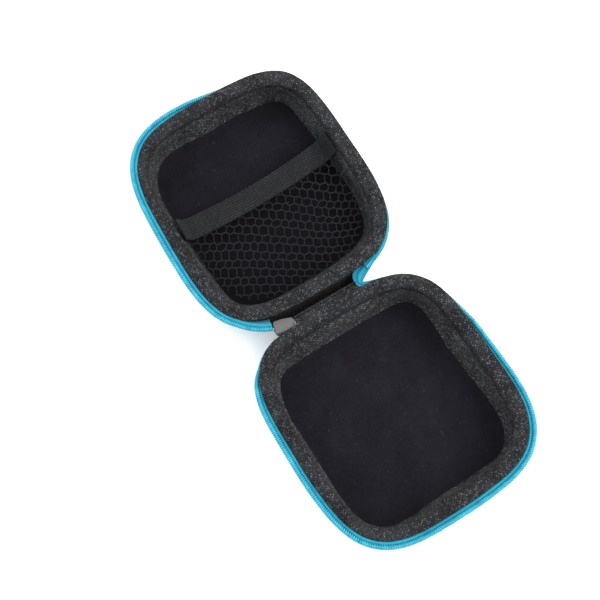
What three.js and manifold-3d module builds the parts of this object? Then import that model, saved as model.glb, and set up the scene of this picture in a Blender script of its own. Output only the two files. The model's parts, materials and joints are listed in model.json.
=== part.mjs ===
// A small square zip case, lying open: two moulded half shells joined by a cloth hinge.
// Millimetres, +Z up. The origin is the middle of the base's flat underside, the case lies
// on z = 0, +Y points from the base over the hinge to the lid, and +X is to the right.
import * as THREE from "three";
import { mergeVertices } from "three/addons/utils/BufferGeometryUtils.js";
import Module from "manifold-3d";

const wasm = await Module();
wasm.setup();

// Driving dimensions.
const HALF_WIDTH = 36; // rim outline, across the hinge line's direction
const HALF_LENGTH = 39.3; // rim outline, from the middle to the hinge side
const SQUARENESS = 3.68; // exponent of the rounded-square outline
const RIM = 18; // height of one half, and of the hinge axis
const HINGE_GAP = 2.95; // from a rim's outline to the hinge axis
const LID_LIFT = THREE.MathUtils.degToRad(8); // how far the open lid stands up from flat
const OUTLINE_STEPS = 48;
const AXIS_Y = HALF_LENGTH + HINGE_GAP;

// The cloth hinge: a webbing strip that sags between the two walls.
const HINGE_LEFT = -14.2;
const HINGE_RIGHT = 11.4;
const WEBBING_HALF = 0.3;
const HINGE_PATH = [
  [AXIS_Y - 3.55, 11.2],
  [AXIS_Y - 3.55, 14.3],
  [AXIS_Y - 2.75, 15.1],
  [AXIS_Y - 0.7, 15.1],
  [AXIS_Y + 0.3, 14.2],
  [AXIS_Y + 1.0, 11.6],
  [AXIS_Y + 1.9, 10.9],
  [AXIS_Y + 3.0, 11.3],
  [AXIS_Y + 3.75, 12.4],
  [AXIS_Y + 3.75, 15.2],
];
// The stitches that hold the webbing down along the base's rim.
const HINGE_THREAD_LENGTH = 24.4;
// The closed end of the zip, folded round the hinge's right end from the base to the lid.
const ZIP_END_RADIUS = 0.75;
const ZIP_END_PATH = [
  [17.0, AXIS_Y - 3.3, 14.0],
  [14.6, AXIS_Y - 2.8, 14.4],
  [12.9, AXIS_Y - 0.9, 15.2],
  [14.4, AXIS_Y + 1.1, 16.2],
  [16.9, AXIS_Y + 1.75, 17.0],
];

// The lid's pocket: a net from the hinge side to an elastic band across the middle.
const POCKET_INSET = 5.8; // from the rim outline to the pocket's edge
const NET_HEIGHT = 9.8; // the net's underside above the lid's back
const NET_THICK = 0.6;
const BAND_HEIGHT = 10.1;
const BAND_THICK = 1.1;
const BAND_WIDTH = 8.1;
const BAND_FROM_MIDDLE = 0.2; // its near edge, past the middle of the lid
const BAND_THREAD_IN = 1.4; // from the band's edge to the stitches that hold the net
const STITCH_WIDTH = 0.5;
const STITCH_HEIGHT = 0.3;

// The slider, and its pull hanging under it.
const SLIDER_X = -18.65;
const SLIDER_TOP = 15.4;
const SLIDER_LENGTH = 8.4;
const SLIDER_WIDE = 6.6;
const SLIDER_NARROW = 5.2;
const PLATE = 0.9;
const CHANNEL = 1.6; // between the slider's plates
const FLANGE_WIDTH = 0.5;
const FLANGE_DROP = 0.4;
const BRIDGE_WIDTH = 1.6;
const PULL_PIVOT_Z = 11.2;
const PULL_THICK = 0.8;
const PULL_WIDTH = 4.6;
const PULL_LENGTH = 10.4; // below the pivot
const PULL_EYE = [2.6, 2.7]; // width and length of the eye
const PULL_BAR = 0.4; // half the height of the bar over the eye

// Each wall layer's section: [outward from the rim outline, height]. Cups run from the
// rim down the outside to the flat bottom, then from the flat floor up the inside.
const COVER_OUTER = [
  [-1.2, RIM - 1.2],
  [-1.2, 10],
  [-1.7, 6.5],
  [-3.2, 3.2],
  [-6.0, 1.0],
  [-11, 0],
];
const COVER_INNER = [
  [-11, 0.5],
  [-6.3, 1.5],
  [-3.6, 3.6],
  [-2.2, 6.7],
  [-1.7, 10],
  [-1.7, RIM - 1.2],
];
const SHELL_OUTER = [
  [-1.85, RIM - 1.2],
  [-1.85, 10],
  [-2.35, 6.8],
  [-3.72, 3.72],
  [-6.4, 1.65],
  [-11, 0.65],
];
const SHELL_INNER = [
  [-12, 3.15],
  [-8.3, 3.2],
  [-5.8, 4.2],
  [-4.7, 6.3],
  [-4.45, 9],
  [-3.6, RIM - 3],
  [-3.35, RIM - 1.2],
];
const LINING_OUTER = [
  [-3.5, RIM - 1.2],
  [-3.75, RIM - 3],
  [-4.6, 9],
  [-4.85, 6.4],
  [-5.95, 4.35],
  [-8.4, 3.35],
  [-12, 3.3],
];
const LINING_INNER = [
  [-12, 3.75],
  [-8.6, 3.8],
  [-6.3, 4.75],
  [-5.3, 6.55],
  [-5.05, 9],
  [-4.2, RIM - 3],
  [-3.95, RIM - 1.2],
];
// The binding tape folds over the rim and down the inner wall.
const BINDING = [
  [0, RIM - 2.2],
  [0, RIM - 0.6],
  [-0.5, RIM - 0.05],
  [-4.0, RIM - 0.05],
  [-4.6, RIM - 0.7],
  [-4.95, RIM - 3],
  [-5.7, 9],
  [-5.9, 6.9],
  [-5.45, 6.9],
  [-5.22, 9],
  [-4.4, RIM - 3],
  [-4.1, RIM - 0.9],
  [-0.5, RIM - 0.9],
  [-0.45, RIM - 2.2],
];
// The line of stitches that holds the binding, on its inner face.
const THREAD = [
  [-5.35, RIM - 4.6],
  [-5.3, RIM - 4.1],
  [-5.6, RIM - 4.1],
  [-5.65, RIM - 4.6],
];
// The zip tape's and coil's sections, tucked against the wall and leaning fully out.
const TAPE_TUCKED = [
  [-0.87, RIM - 8],
  [-0.87, RIM - 6.2],
  [-0.45, RIM - 5.6],
  [0.6, RIM - 5.2],
];
const TAPE_OUT = [
  [-0.87, RIM - 8],
  [-0.87, RIM - 3.3],
  [-0.3, RIM - 2.75],
  [1.9, RIM - 1.9],
];
const TAPE_HALF = 0.17;
const COIL_TUCKED = [0.2, RIM - 4.3];
const COIL_OUT = [2.3, RIM - 0.85];
const COIL_HALF_WIDTH = 0.95;
const COIL_HALF_HEIGHT = 0.62;
const COIL_SIDES = 6;
// How far the opened zip leans out, 0 to 1, by direction from the middle of a half:
// 0 degrees is to the right and 90 degrees is towards the hinge.
const BASE_LEAN = [
  [-180, 1],
  [-40, 1],
  [0, 0.85],
  [30, 0.4],
  [50, 0.1],
  [75, 0.1],
  [105, 0],
  [135, 0],
  [150, 0.6],
  [170, 1],
  [180, 1],
];
const LID_LEAN = [
  [-180, 1],
  [-130, 0.95],
  [-90, 0.75],
  [-60, 0.25],
  [-40, 0],
  [20, 0],
  [40, 0.35],
  [60, 0.85],
  [75, 0.9],
  [105, 0.9],
  [140, 1],
  [180, 1],
];
// The zip runs round a half from beside the hinge on the right to the slider on the left,
// in outline steps from the middle of the hinge side.
const ZIP_FIRST = 2;
const ZIP_LAST = OUTLINE_STEPS - 4;

const colours = {
  cyan: new THREE.MeshStandardMaterial({ color: 0x39b3c8, roughness: 0.7 }),
  coil: new THREE.MeshStandardMaterial({ color: 0x45bfd2, roughness: 0.45 }),
  foam: new THREE.MeshStandardMaterial({ color: 0x2a2a2e, roughness: 0.95 }),
  liner: new THREE.MeshStandardMaterial({ color: 0x26252c, roughness: 0.95 }),
  binding: new THREE.MeshStandardMaterial({ color: 0x36383b, roughness: 0.85 }),
  elastic: new THREE.MeshStandardMaterial({ color: 0x2f3034, roughness: 0.85 }),
  net: new THREE.MeshStandardMaterial({ color: 0x2c2d31, roughness: 0.7 }),
  metal: new THREE.MeshStandardMaterial({ color: 0x808080, roughness: 0.4, metalness: 0.9 }),
};

// A point of the outline at angle t, moved outward along its normal. t is 90 degrees at
// the middle of the hinge side.
function outlinePoint(t, outward) {
  const power = 2 / SQUARENESS;
  const c = Math.cos(t);
  const s = Math.sin(t);
  const x = HALF_WIDTH * Math.sign(c) * Math.abs(c) ** power;
  const y = HALF_LENGTH * Math.sign(s) * Math.abs(s) ** power;
  const slope = SQUARENESS - 1;
  const nx = (Math.sign(x) * Math.abs(x / HALF_WIDTH) ** slope) / HALF_WIDTH;
  const ny = (Math.sign(y) * Math.abs(y / HALF_LENGTH) ** slope) / HALF_LENGTH;
  const length = Math.hypot(nx, ny);
  return [x + (outward * nx) / length, y + (outward * ny) / length];
}

// The outline's angle at a step, clockwise from the middle of the hinge side.
function stepAngle(step) {
  return Math.PI / 2 - (2 * Math.PI * step) / OUTLINE_STEPS;
}

function geometryOf(points, triangles) {
  const geometry = new THREE.BufferGeometry();
  geometry.setAttribute("position", new THREE.Float32BufferAttribute(points.flat(), 3));
  geometry.setIndex(triangles.flat());
  geometry.computeVertexNormals();
  return geometry;
}

// Quads between two neighbouring sections of the same length, as triangles.
function joinSections(triangles, from, to, count, closed) {
  const last = closed ? count : count - 1;
  for (let j = 0; j < last; j++) {
    const k = (j + 1) % count;
    triangles.push([from + j, from + k, to + k]);
    triangles.push([from + j, to + k, to + j]);
  }
}

// A closed band that runs all the way round the outline.
function ringAround(section) {
  const points = [];
  const triangles = [];
  const count = section.length;
  for (let i = 0; i < OUTLINE_STEPS; i++) {
    const t = stepAngle(i);
    section.forEach(([out, z]) => points.push([...outlinePoint(t, out), z]));
    joinSections(triangles, i * count, ((i + 1) % OUTLINE_STEPS) * count, count, true);
  }
  return geometryOf(points, triangles);
}

// A cup: the outer section from the rim to the bottom, then the inner one back up.
function cup(outer, inner) {
  const section = [...outer, ...inner];
  const count = section.length;
  const points = [];
  const triangles = [];
  for (let i = 0; i < OUTLINE_STEPS; i++) {
    const t = stepAngle(i);
    section.forEach(([out, z]) => points.push([...outlinePoint(t, out), z]));
  }
  const bottom = points.push([0, 0, outer.at(-1)[1]]) - 1;
  const floor = points.push([0, 0, inner[0][1]]) - 1;
  for (let i = 0; i < OUTLINE_STEPS; i++) {
    const here = i * count;
    const next = ((i + 1) % OUTLINE_STEPS) * count;
    for (let j = 0; j < count; j++) {
      if (j === outer.length - 1) {
        triangles.push([here + j, next + j, bottom]);
        triangles.push([here + j + 1, floor, next + j + 1]);
        continue;
      }
      const k = (j + 1) % count;
      triangles.push([here + j, next + k, here + k]);
      triangles.push([here + j, next + j, next + k]);
    }
  }
  return geometryOf(points, triangles);
}

// A band along part of the outline, whose section can change on the way.
function stripAround(sectionAt) {
  const points = [];
  const triangles = [];
  let count = 0;
  for (let step = ZIP_FIRST; step <= ZIP_LAST; step++) {
    const t = stepAngle(step);
    const section = sectionAt(t);
    count = section.length;
    section.forEach(([out, z]) => points.push([...outlinePoint(t, out), z]));
  }
  const steps = ZIP_LAST - ZIP_FIRST;
  for (let i = 0; i < steps; i++) joinSections(triangles, i * count, (i + 1) * count, count, true);
  for (let j = 1; j < count - 1; j++) {
    triangles.push([0, j + 1, j]);
    triangles.push([steps * count, steps * count + j, steps * count + j + 1]);
  }
  return geometryOf(points, triangles);
}

function lean(keys, t) {
  const [x, y] = outlinePoint(t, 0);
  const degrees = THREE.MathUtils.radToDeg(Math.atan2(y, x));
  const after = Math.max(1, keys.findIndex(([angle]) => angle >= degrees));
  const [a, from] = keys[after - 1];
  const [b, to] = keys[after];
  return THREE.MathUtils.lerp(from, to, THREE.MathUtils.smoothstep(degrees, a, b));
}

function between(a, b, share) {
  return a.map((value, i) => THREE.MathUtils.lerp(value, b[i], share));
}

// The two long sides of a thin path, offset by half its thickness.
function thicken(path, half) {
  const sides = [[], []];
  path.forEach((point, i) => {
    const before = path[Math.max(0, i - 1)];
    const after = path[Math.min(path.length - 1, i + 1)];
    const dx = after[0] - before[0];
    const dz = after[1] - before[1];
    const length = Math.hypot(dx, dz);
    const normal = [(-dz / length) * half, (dx / length) * half];
    sides[0].push([point[0] - normal[0], point[1] - normal[1]]);
    sides[1].unshift([point[0] + normal[0], point[1] + normal[1]]);
  });
  return sides.flat();
}

function tapeSection(keys, t) {
  const share = lean(keys, t);
  const path = TAPE_TUCKED.map((point, i) => between(point, TAPE_OUT[i], share));
  return thicken(path, TAPE_HALF);
}

function coilSection(keys, t) {
  const [out, z] = between(COIL_TUCKED, COIL_OUT, lean(keys, t));
  const section = [];
  for (let i = 0; i < COIL_SIDES; i++) {
    const a = (2 * Math.PI * i) / COIL_SIDES;
    section.push([out + COIL_HALF_WIDTH * Math.cos(a), z + COIL_HALF_HEIGHT * Math.sin(a)]);
  }
  return section;
}

// Mirrors a piece of a half, so that its hinge side faces -Y, and turns its faces back out.
function facingBack(mirrored) {
  const geometry = mirrored.index ? mirrored : mergeVertices(mirrored);
  geometry.scale(1, -1, 1);
  const index = geometry.index.array;
  for (let i = 0; i < index.length; i += 3) {
    [index[i + 1], index[i + 2]] = [index[i + 2], index[i + 1]];
  }
  geometry.computeVertexNormals();
  return geometry;
}

function mesh(name, geometry, material) {
  const piece = new THREE.Mesh(geometry, material);
  piece.name = name;
  return piece;
}

// One half: cover cloth, foam shell, lining, rim binding and its stitches, zip tape and coil.
function halfPieces(side, keys) {
  return [
    [side + "_cover", cup(COVER_OUTER, COVER_INNER), colours.cyan],
    [side + "_foam_shell", cup(SHELL_OUTER, SHELL_INNER), colours.foam],
    [side + "_lining", cup(LINING_OUTER, LINING_INNER), colours.liner],
    [side + "_rim_binding", ringAround(BINDING), colours.binding],
    [side + "_binding_thread", ringAround(THREAD), colours.binding],
    [side + "_zip_tape", stripAround((t) => tapeSection(keys, t)), colours.cyan],
    [side + "_zip_coil", stripAround((t) => coilSection(keys, t)), colours.coil],
  ];
}

// A thin strip of webbing, bent along its path and running the hinge's width along X.
function hingeStrip() {
  const outline = thicken(HINGE_PATH, WEBBING_HALF);
  const shape = new THREE.Shape(outline.map(([y, z]) => new THREE.Vector2(y, z)));
  const geometry = new THREE.ExtrudeGeometry(shape, {
    depth: HINGE_RIGHT - HINGE_LEFT,
    bevelEnabled: false,
  });
  geometry.rotateX(Math.PI / 2);
  geometry.rotateZ(Math.PI / 2);
  return geometry.translate(HINGE_LEFT, 0, 0);
}

function zipEnd() {
  const path = new THREE.CatmullRomCurve3(
    ZIP_END_PATH.map((point) => new THREE.Vector3(...point)),
  );
  const section = new THREE.Shape().absarc(0, 0, ZIP_END_RADIUS, 0, 2 * Math.PI);
  return new THREE.ExtrudeGeometry(section, {
    steps: 12,
    curveSegments: 8,
    extrudePath: path,
    bevelEnabled: false,
  });
}

// The net's plate: the hinge-side half of the outline, inset, with a straight far edge.
function netPlate() {
  const points = [];
  for (let step = -OUTLINE_STEPS / 4; step <= OUTLINE_STEPS / 4; step++) {
    points.push(new THREE.Vector2(...outlinePoint(stepAngle(step), -POCKET_INSET)));
  }
  const geometry = new THREE.ExtrudeGeometry(new THREE.Shape(points), {
    depth: NET_THICK,
    bevelEnabled: false,
  });
  return geometry.translate(0, 0, NET_HEIGHT);
}

function elasticBand() {
  const length = 2 * (HALF_WIDTH - POCKET_INSET - 0.1);
  const y = -BAND_FROM_MIDDLE - BAND_WIDTH / 2;
  return slab(length, BAND_WIDTH, BAND_THICK, 0, y, BAND_HEIGHT + BAND_THICK / 2);
}

// A straight line of stitches along X, lying just over the cloth at height z.
function stitches(length, x, y, z) {
  return slab(length, STITCH_WIDTH, STITCH_HEIGHT, x, y, z + STITCH_HEIGHT / 2 + 0.1);
}

function bandStitches() {
  const length = 2 * (HALF_WIDTH - POCKET_INSET - 1);
  return stitches(length, 0, -BAND_FROM_MIDDLE - BAND_THREAD_IN, BAND_HEIGHT + BAND_THICK);
}

function hingeStitches() {
  const middle = (HINGE_LEFT + HINGE_RIGHT) / 2;
  return stitches(HINGE_THREAD_LENGTH, middle, AXIS_Y - 1.6, HINGE_PATH[2][1] + WEBBING_HALF);
}

function solidOf(geometry) {
  const bare = geometry.clone();
  bare.deleteAttribute("normal");
  bare.deleteAttribute("uv");
  const merged = mergeVertices(bare, 1e-3);
  return new wasm.Manifold(
    new wasm.Mesh({
      numProp: 3,
      vertProperties: merged.attributes.position.array,
      triVerts: new Uint32Array(merged.index.array),
    }),
  );
}

function geometryOfSolid(solid) {
  const { vertProperties, triVerts } = solid.getMesh();
  const geometry = new THREE.BufferGeometry();
  geometry.setAttribute("position", new THREE.BufferAttribute(vertProperties, 3));
  geometry.setIndex(new THREE.BufferAttribute(triVerts, 1));
  geometry.computeVertexNormals();
  return geometry;
}

function joined(geometries) {
  return geometryOfSolid(geometries.map(solidOf).reduce((all, one) => all.add(one)));
}

function slab(width, depth, height, x, y, z) {
  return new THREE.BoxGeometry(width, depth, height).translate(x, y, z);
}

// A slider plate seen from above: two mouths on the left, one on the right.
function plateShape() {
  const end = SLIDER_LENGTH / 2;
  const wide = SLIDER_WIDE / 2;
  const narrow = SLIDER_NARROW / 2;
  const shape = new THREE.Shape();
  shape.moveTo(-end + 1.4, -wide);
  shape.lineTo(0, -wide);
  shape.lineTo(end - 0.9, -narrow);
  shape.quadraticCurveTo(end, -narrow, end, -narrow + 0.9);
  shape.lineTo(end, narrow - 0.9);
  shape.quadraticCurveTo(end, narrow, end - 0.9, narrow);
  shape.lineTo(0, wide);
  shape.lineTo(-end + 1.4, wide);
  shape.quadraticCurveTo(-end, wide, -end, wide - 1.4);
  shape.lineTo(-end, -wide + 1.4);
  shape.quadraticCurveTo(-end, -wide, -end + 1.4, -wide);
  return shape;
}

// The bridge that holds the pull, seen from the side.
function bridgeShape(top) {
  const shape = new THREE.Shape();
  shape.moveTo(-2.6, top);
  shape.lineTo(-2.6, top - 1.6);
  shape.quadraticCurveTo(-2.5, top - 2.15, -1.9, top - 2.15);
  shape.lineTo(1.9, top - 2.15);
  shape.quadraticCurveTo(2.5, top - 2.15, 2.6, top - 1.6);
  shape.lineTo(2.6, top);
  shape.lineTo(1.8, top);
  shape.lineTo(1.8, top - 1.45);
  shape.lineTo(-1.8, top - 1.45);
  shape.lineTo(-1.8, top);
  return shape;
}

function sliderBody() {
  const bottom = SLIDER_TOP - 2 * PLATE - CHANNEL;
  const flat = { depth: PLATE, bevelEnabled: false, curveSegments: 4 };
  const upper = new THREE.ExtrudeGeometry(plateShape(), flat);
  upper.translate(0, 0, SLIDER_TOP - PLATE);
  const lower = new THREE.ExtrudeGeometry(plateShape(), flat);
  lower.translate(0, 0, bottom);
  const middle = bottom + PLATE + CHANNEL / 2;
  const post = new THREE.CylinderGeometry(0.9, 0.9, CHANNEL + 0.2, 10);
  post.rotateX(Math.PI / 2);
  post.translate(-SLIDER_LENGTH / 2 + 1.5, 0, middle);
  const pieces = [upper, lower, post];
  const length = SLIDER_LENGTH / 2 - 1;
  for (const side of [-1, 1]) {
    const y = side * (SLIDER_WIDE - FLANGE_WIDTH - 0.02) * 0.5;
    const rise = (CHANNEL - FLANGE_DROP) / 2;
    for (const z of [middle + rise, middle - rise]) {
      pieces.push(slab(length, FLANGE_WIDTH, FLANGE_DROP + 0.2, -length / 2 - 0.3, y, z));
    }
  }
  const bridge = new THREE.ExtrudeGeometry(bridgeShape(0.1), {
    depth: BRIDGE_WIDTH,
    bevelEnabled: false,
    curveSegments: 4,
  });
  bridge.rotateX(Math.PI / 2);
  bridge.translate(0, BRIDGE_WIDTH / 2, bottom);
  pieces.push(bridge);
  return joined(pieces);
}

// The pull: a flat tab with a rounded end and an eye that hangs on the bridge.
function pullTab() {
  const half = PULL_WIDTH / 2;
  const tip = 1.6;
  const shape = new THREE.Shape();
  shape.moveTo(-half + 0.3, PULL_BAR);
  shape.lineTo(-half, PULL_BAR - 0.3);
  shape.lineTo(-half, -PULL_LENGTH + tip);
  shape.quadraticCurveTo(-half, -PULL_LENGTH, -half + tip, -PULL_LENGTH);
  shape.lineTo(half - tip, -PULL_LENGTH);
  shape.quadraticCurveTo(half, -PULL_LENGTH, half, -PULL_LENGTH + tip);
  shape.lineTo(half, PULL_BAR - 0.3);
  shape.lineTo(half - 0.3, PULL_BAR);
  const eye = new THREE.Path();
  const [wide, long] = PULL_EYE;
  eye.moveTo(-wide / 2, -PULL_BAR);
  eye.lineTo(wide / 2, -PULL_BAR);
  eye.lineTo(wide / 2, -PULL_BAR - long);
  eye.lineTo(-wide / 2, -PULL_BAR - long);
  shape.holes.push(eye);
  const geometry = new THREE.ExtrudeGeometry(shape, {
    depth: PULL_THICK,
    bevelEnabled: false,
    curveSegments: 5,
  });
  geometry.rotateX(Math.PI / 2);
  geometry.rotateZ(Math.PI / 2);
  return geometry.translate(-PULL_THICK / 2, 0, 0);
}

function baseGroup() {
  const group = new THREE.Group();
  for (const piece of halfPieces("base", BASE_LEAN)) group.add(mesh(...piece));
  group.add(mesh("hinge_webbing", hingeStrip(), colours.binding));
  group.add(mesh("hinge_thread", hingeStitches(), colours.binding));
  group.add(mesh("zip_closed_end", zipEnd(), colours.cyan));
  return group;
}

// The lid turns about the hinge axis, which is the group's own origin.
function lidGroup() {
  const lid = new THREE.Group();
  lid.position.set(0, AXIS_Y, RIM);
  lid.rotation.x = LID_LIFT;
  const half = new THREE.Group();
  half.position.set(0, AXIS_Y, -RIM);
  lid.add(half);
  const pieces = [
    ...halfPieces("lid", LID_LEAN),
    ["pocket_net", netPlate(), colours.net],
    ["pocket_elastic", elasticBand(), colours.elastic],
    ["pocket_thread", bandStitches(), colours.elastic],
  ];
  for (const [name, geometry, material] of pieces) {
    half.add(mesh(name, facingBack(geometry), material));
  }
  return lid;
}

function sliderGroup() {
  const group = new THREE.Group();
  group.position.set(SLIDER_X, AXIS_Y, 0);
  group.add(mesh("zip_slider", sliderBody(), colours.metal));
  const pull = mesh("zip_pull", pullTab(), colours.metal);
  pull.position.z = PULL_PIVOT_Z;
  group.add(pull);
  return group;
}

const zipCase = new THREE.Group();
zipCase.add(baseGroup(), lidGroup(), sliderGroup());
export default zipCase;
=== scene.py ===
"""Looks for a small square zip case lying open: cloth, foam, lining, binding, zip, net and slider.

Lengths are in millimetres, in each half's own frame: the middle of the flat back at the origin, the rim up
and the hinge side towards +y. place() turns them into metres in the shared frame.
"""

import json
import math

import bmesh
import bpy
import numpy as np
from mathutils import Matrix, Vector, noise


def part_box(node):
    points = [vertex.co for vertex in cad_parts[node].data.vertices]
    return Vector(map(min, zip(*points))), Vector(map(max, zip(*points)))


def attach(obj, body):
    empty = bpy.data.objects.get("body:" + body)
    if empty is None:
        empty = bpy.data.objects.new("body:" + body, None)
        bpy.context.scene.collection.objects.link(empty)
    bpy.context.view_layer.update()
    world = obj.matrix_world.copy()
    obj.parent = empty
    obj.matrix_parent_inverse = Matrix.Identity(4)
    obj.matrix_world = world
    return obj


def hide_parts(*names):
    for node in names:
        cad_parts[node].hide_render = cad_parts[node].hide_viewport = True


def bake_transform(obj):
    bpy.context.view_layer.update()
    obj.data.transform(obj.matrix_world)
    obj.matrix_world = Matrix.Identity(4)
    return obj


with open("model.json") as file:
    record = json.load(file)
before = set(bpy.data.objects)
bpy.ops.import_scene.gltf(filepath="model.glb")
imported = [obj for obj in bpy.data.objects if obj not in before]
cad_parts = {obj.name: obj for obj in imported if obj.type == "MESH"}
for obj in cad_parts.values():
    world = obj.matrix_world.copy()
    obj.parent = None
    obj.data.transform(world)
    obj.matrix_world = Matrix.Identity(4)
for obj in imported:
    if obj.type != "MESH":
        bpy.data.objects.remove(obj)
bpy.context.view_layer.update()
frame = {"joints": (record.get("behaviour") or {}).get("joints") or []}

# -------- driving dimensions, mm

MM = 0.001
joints = {joint["name"]: joint for joint in frame["joints"]}
_, AXIS_Y, RIM = (value / MM for value in joints["lid_hinge"]["pos_m"])
HALF_WIDTH, HALF_LENGTH = (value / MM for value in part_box("base_rim_binding")[1].xy)
SQUARENESS = 3.68  # exponent of the rounded-square outline
LID_LIFT = math.radians(8)
HINGE_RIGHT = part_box("hinge_webbing")[1].x / MM
AROUND = 600  # points round a half
FINE = 20001  # points for measuring the outline
TINY = 1e-6
ZIP_START = math.radians(75)
ZIP_ENDS = {"base": math.radians(-248), "lid": math.radians(-250.4)}
POCKET_INSET = 5.9
NET_Z = 10.1
BAND_Z = 10.65

COVER_OUTER = [
    (-1.2, RIM - 1.2), (-1.2, 10), (-1.7, 6.5), (-3.2, 3.2), (-6, 1), (-9, 0.12), (-11, 0),
]
COVER_INNER = [(-11, 0.5), (-6.3, 1.5), (-3.6, 3.6), (-2.2, 6.7), (-1.7, 10), (-1.7, RIM - 1.2)]
SHELL_OUTER = [
    (-1.8, RIM - 1.2), (-1.8, 10), (-2.3, 6.8), (-3.7, 3.7), (-6.4, 1.62), (-11, 0.6),
]
SHELL_INNER = [
    (-12, 3.2), (-8.2, 3.3), (-6.4, 3.7), (-5.2, 5.2), (-4.8, 7), (-4.5, 9), (-3.7, RIM - 3),
    (-3.5, RIM - 1.2),
]
LINING_OUTER = [
    (-3.55, RIM - 1.2), (-3.8, RIM - 3), (-4.6, 9), (-4.9, 7), (-5.3, 5.3), (-6.45, 3.8), (-8.3, 3.38),
    (-12, 3.3),
]
LINING_INNER = [
    (-12, 3.75), (-8.6, 3.8), (-6.9, 4.15), (-5.9, 5.35), (-5.35, 7), (-5.05, 9), (-4.2, RIM - 3),
    (-3.95, RIM - 1.2),
]
# The binding tape, from its outer edge over the rolled rim and down the inner wall, and back.
BINDING_FACE = [
    (0.1, RIM - 2.2), (0.35, RIM - 1.3), (0.2, RIM - 0.45), (-0.9, RIM - 0.08), (-2.2, RIM - 0.04),
    (-3.7, RIM - 0.25), (-4.6, RIM - 0.75), (-4.85, RIM - 1.5), (-4.25, RIM - 2.05), (-4.75, RIM - 2.7),
    (-5.15, RIM - 4), (-5.75, 9), (-6.0, 6.8), (-6.3, 5.2), (-6.8, 4.5),
]
BINDING_BACK = [
    (-6.4, 4.35), (-5.95, 5.1), (-5.65, 6.8), (-5.3, 9), (-4.45, RIM - 3), (-4.0, RIM - 2),
    (-4.05, RIM - 0.95), (-0.6, RIM - 0.8), (-0.35, RIM - 2.2),
]
BINDING_STITCH = (-4.3, RIM - 2.08)
# The zip tape and the middle of its coil, tucked in against the wall and leaning fully out.
TAPE_TUCKED = [(-0.8, 9.8), (-0.8, 12), (-0.5, 12.6), (-0.2, 13.1), (0.1, 12.9), (0.5, 12.7), (0.9, 12.75)]
TAPE_OUT = [(-0.8, 9.8), (-0.7, 14.3), (0.0, 15.7), (0.55, 16.8), (1.0, 16.7), (1.35, 16.3), (2.75, 16.2)]
TAPE_THICK = 0.4
COIL_TUCKED, COIL_OUT = (0.2, 13.7), (2.15, 17.0)
COIL_HALF_WIDTH, COIL_HALF_HEIGHT = 0.6, 0.36
COIL_WIRE, COIL_CORE = 0.29, 0.36
COIL_PITCH = 0.7
COIL_STEPS = 10  # points in a turn
# How far the opened zip leans out, 0 to 1, by direction in degrees: 0 is right and 90 is the hinge side.
LEAN = {
    "base": [
        (-180, 1), (-60, 1), (-36, 0.95), (-12, 0.85), (0, 0.8), (14, 0.72), (24, 0.35), (36, 0.05),
        (105, 0), (133, 0), (141, 0.75), (150, 1), (180, 1),
    ],
    "lid": [
        (-180, 1.1), (-125, 1.05), (-108, 0.95), (-96, 0.75), (-84, 0.35), (-72, 0), (30, 0), (48, 0.25),
        (60, 0.55), (68, 0.9), (105, 0.9), (120, 1.05), (180, 1.1),
    ],
}
# The soft case isn't quite square: how far its rim stands out from the outline, by direction.
BULGE = {
    "base": [
        (-180, 0.4), (-168, 0.3), (-156, -0.2), (-144, -0.4), (-132, -0.1), (-120, 0.1), (-96, 0.1),
        (-84, 0.1), (-72, -0.3), (-60, -0.3), (-48, 0.2), (-36, 0.85), (-24, 1.0), (-12, 0.8), (12, 0.5),
        (36, 0.6), (48, 0.4), (58, 0), (112, 0), (119, 0.8), (126, 1.4), (134, 1.3), (146, 0.9), (156, 0.6),
        (168, 0.4), (180, 0.4),
    ],
    "lid": [
        (-180, 0.1), (-156, -0.1), (-144, 0), (-120, 0.3), (-108, 0.45), (-96, 0.65), (-84, 0.75),
        (-72, 0.75), (-60, 0.95), (-50, 1.0), (-36, 0.1), (-24, -0.2), (-12, -0.1), (12, 0.4), (24, 0.5),
        (36, 0.4), (48, 0.1), (60, -0.1), (66, 0), (112, 0), (132, 0.4), (144, 0.1), (180, 0.1),
    ],
}
# How far the inner wall stands outside its section, low down and at the rim. Foam is thinner at corners.
WALL_LOW = {
    "base": [
        (-180, 0.9), (-146, 1.4), (-122, 1.6), (-94, 0), (-71, 0), (-52, 1.6), (-40, 1.7), (-28, 1.0),
        (-11, 0), (14, -1.2), (34, 0.5), (46, 1.7), (67, -1.0), (89, -1.4), (116, -1.2), (136, 1.6),
        (158, 1.6), (180, 0.9),
    ],
    "lid": [
        (-180, 0), (-168, 1.0), (-152, 1.7), (-125, 1.6), (-112, 1.0), (-97, 0), (-79, 0.5), (-67, 0.3),
        (-52, 1.6), (-43, 1.4), (-34, -0.3), (-17, -0.3), (0, 0.2), (20, 0.7), (38, 0.7), (61, -0.9),
        (97, -0.3), (124, 0.4), (154, -0.4), (180, 0),
    ],
}
WALL_RIM = {
    "base": [(-180, 0.8), (-120, 0.7), (-96, 0), (120, 0), (140, 0.6), (180, 0.8)],
    "lid": [
        (-180, 0.3), (-165, 1.2), (-152, 1.7), (-136, 1.7), (-118, 0.8), (-96, 0.2), (-80, 0), (150, -0.2),
        (180, 0.3),
    ],
}
# Next to the slider the zip leaves the rim and runs to the slider's mouth.
ZIP_DRIFT = {"base": [(111, 0), (117, 1.0), (121, 0)], "lid": [(111, 0), (117, 2.3), (131, 0)]}
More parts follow.
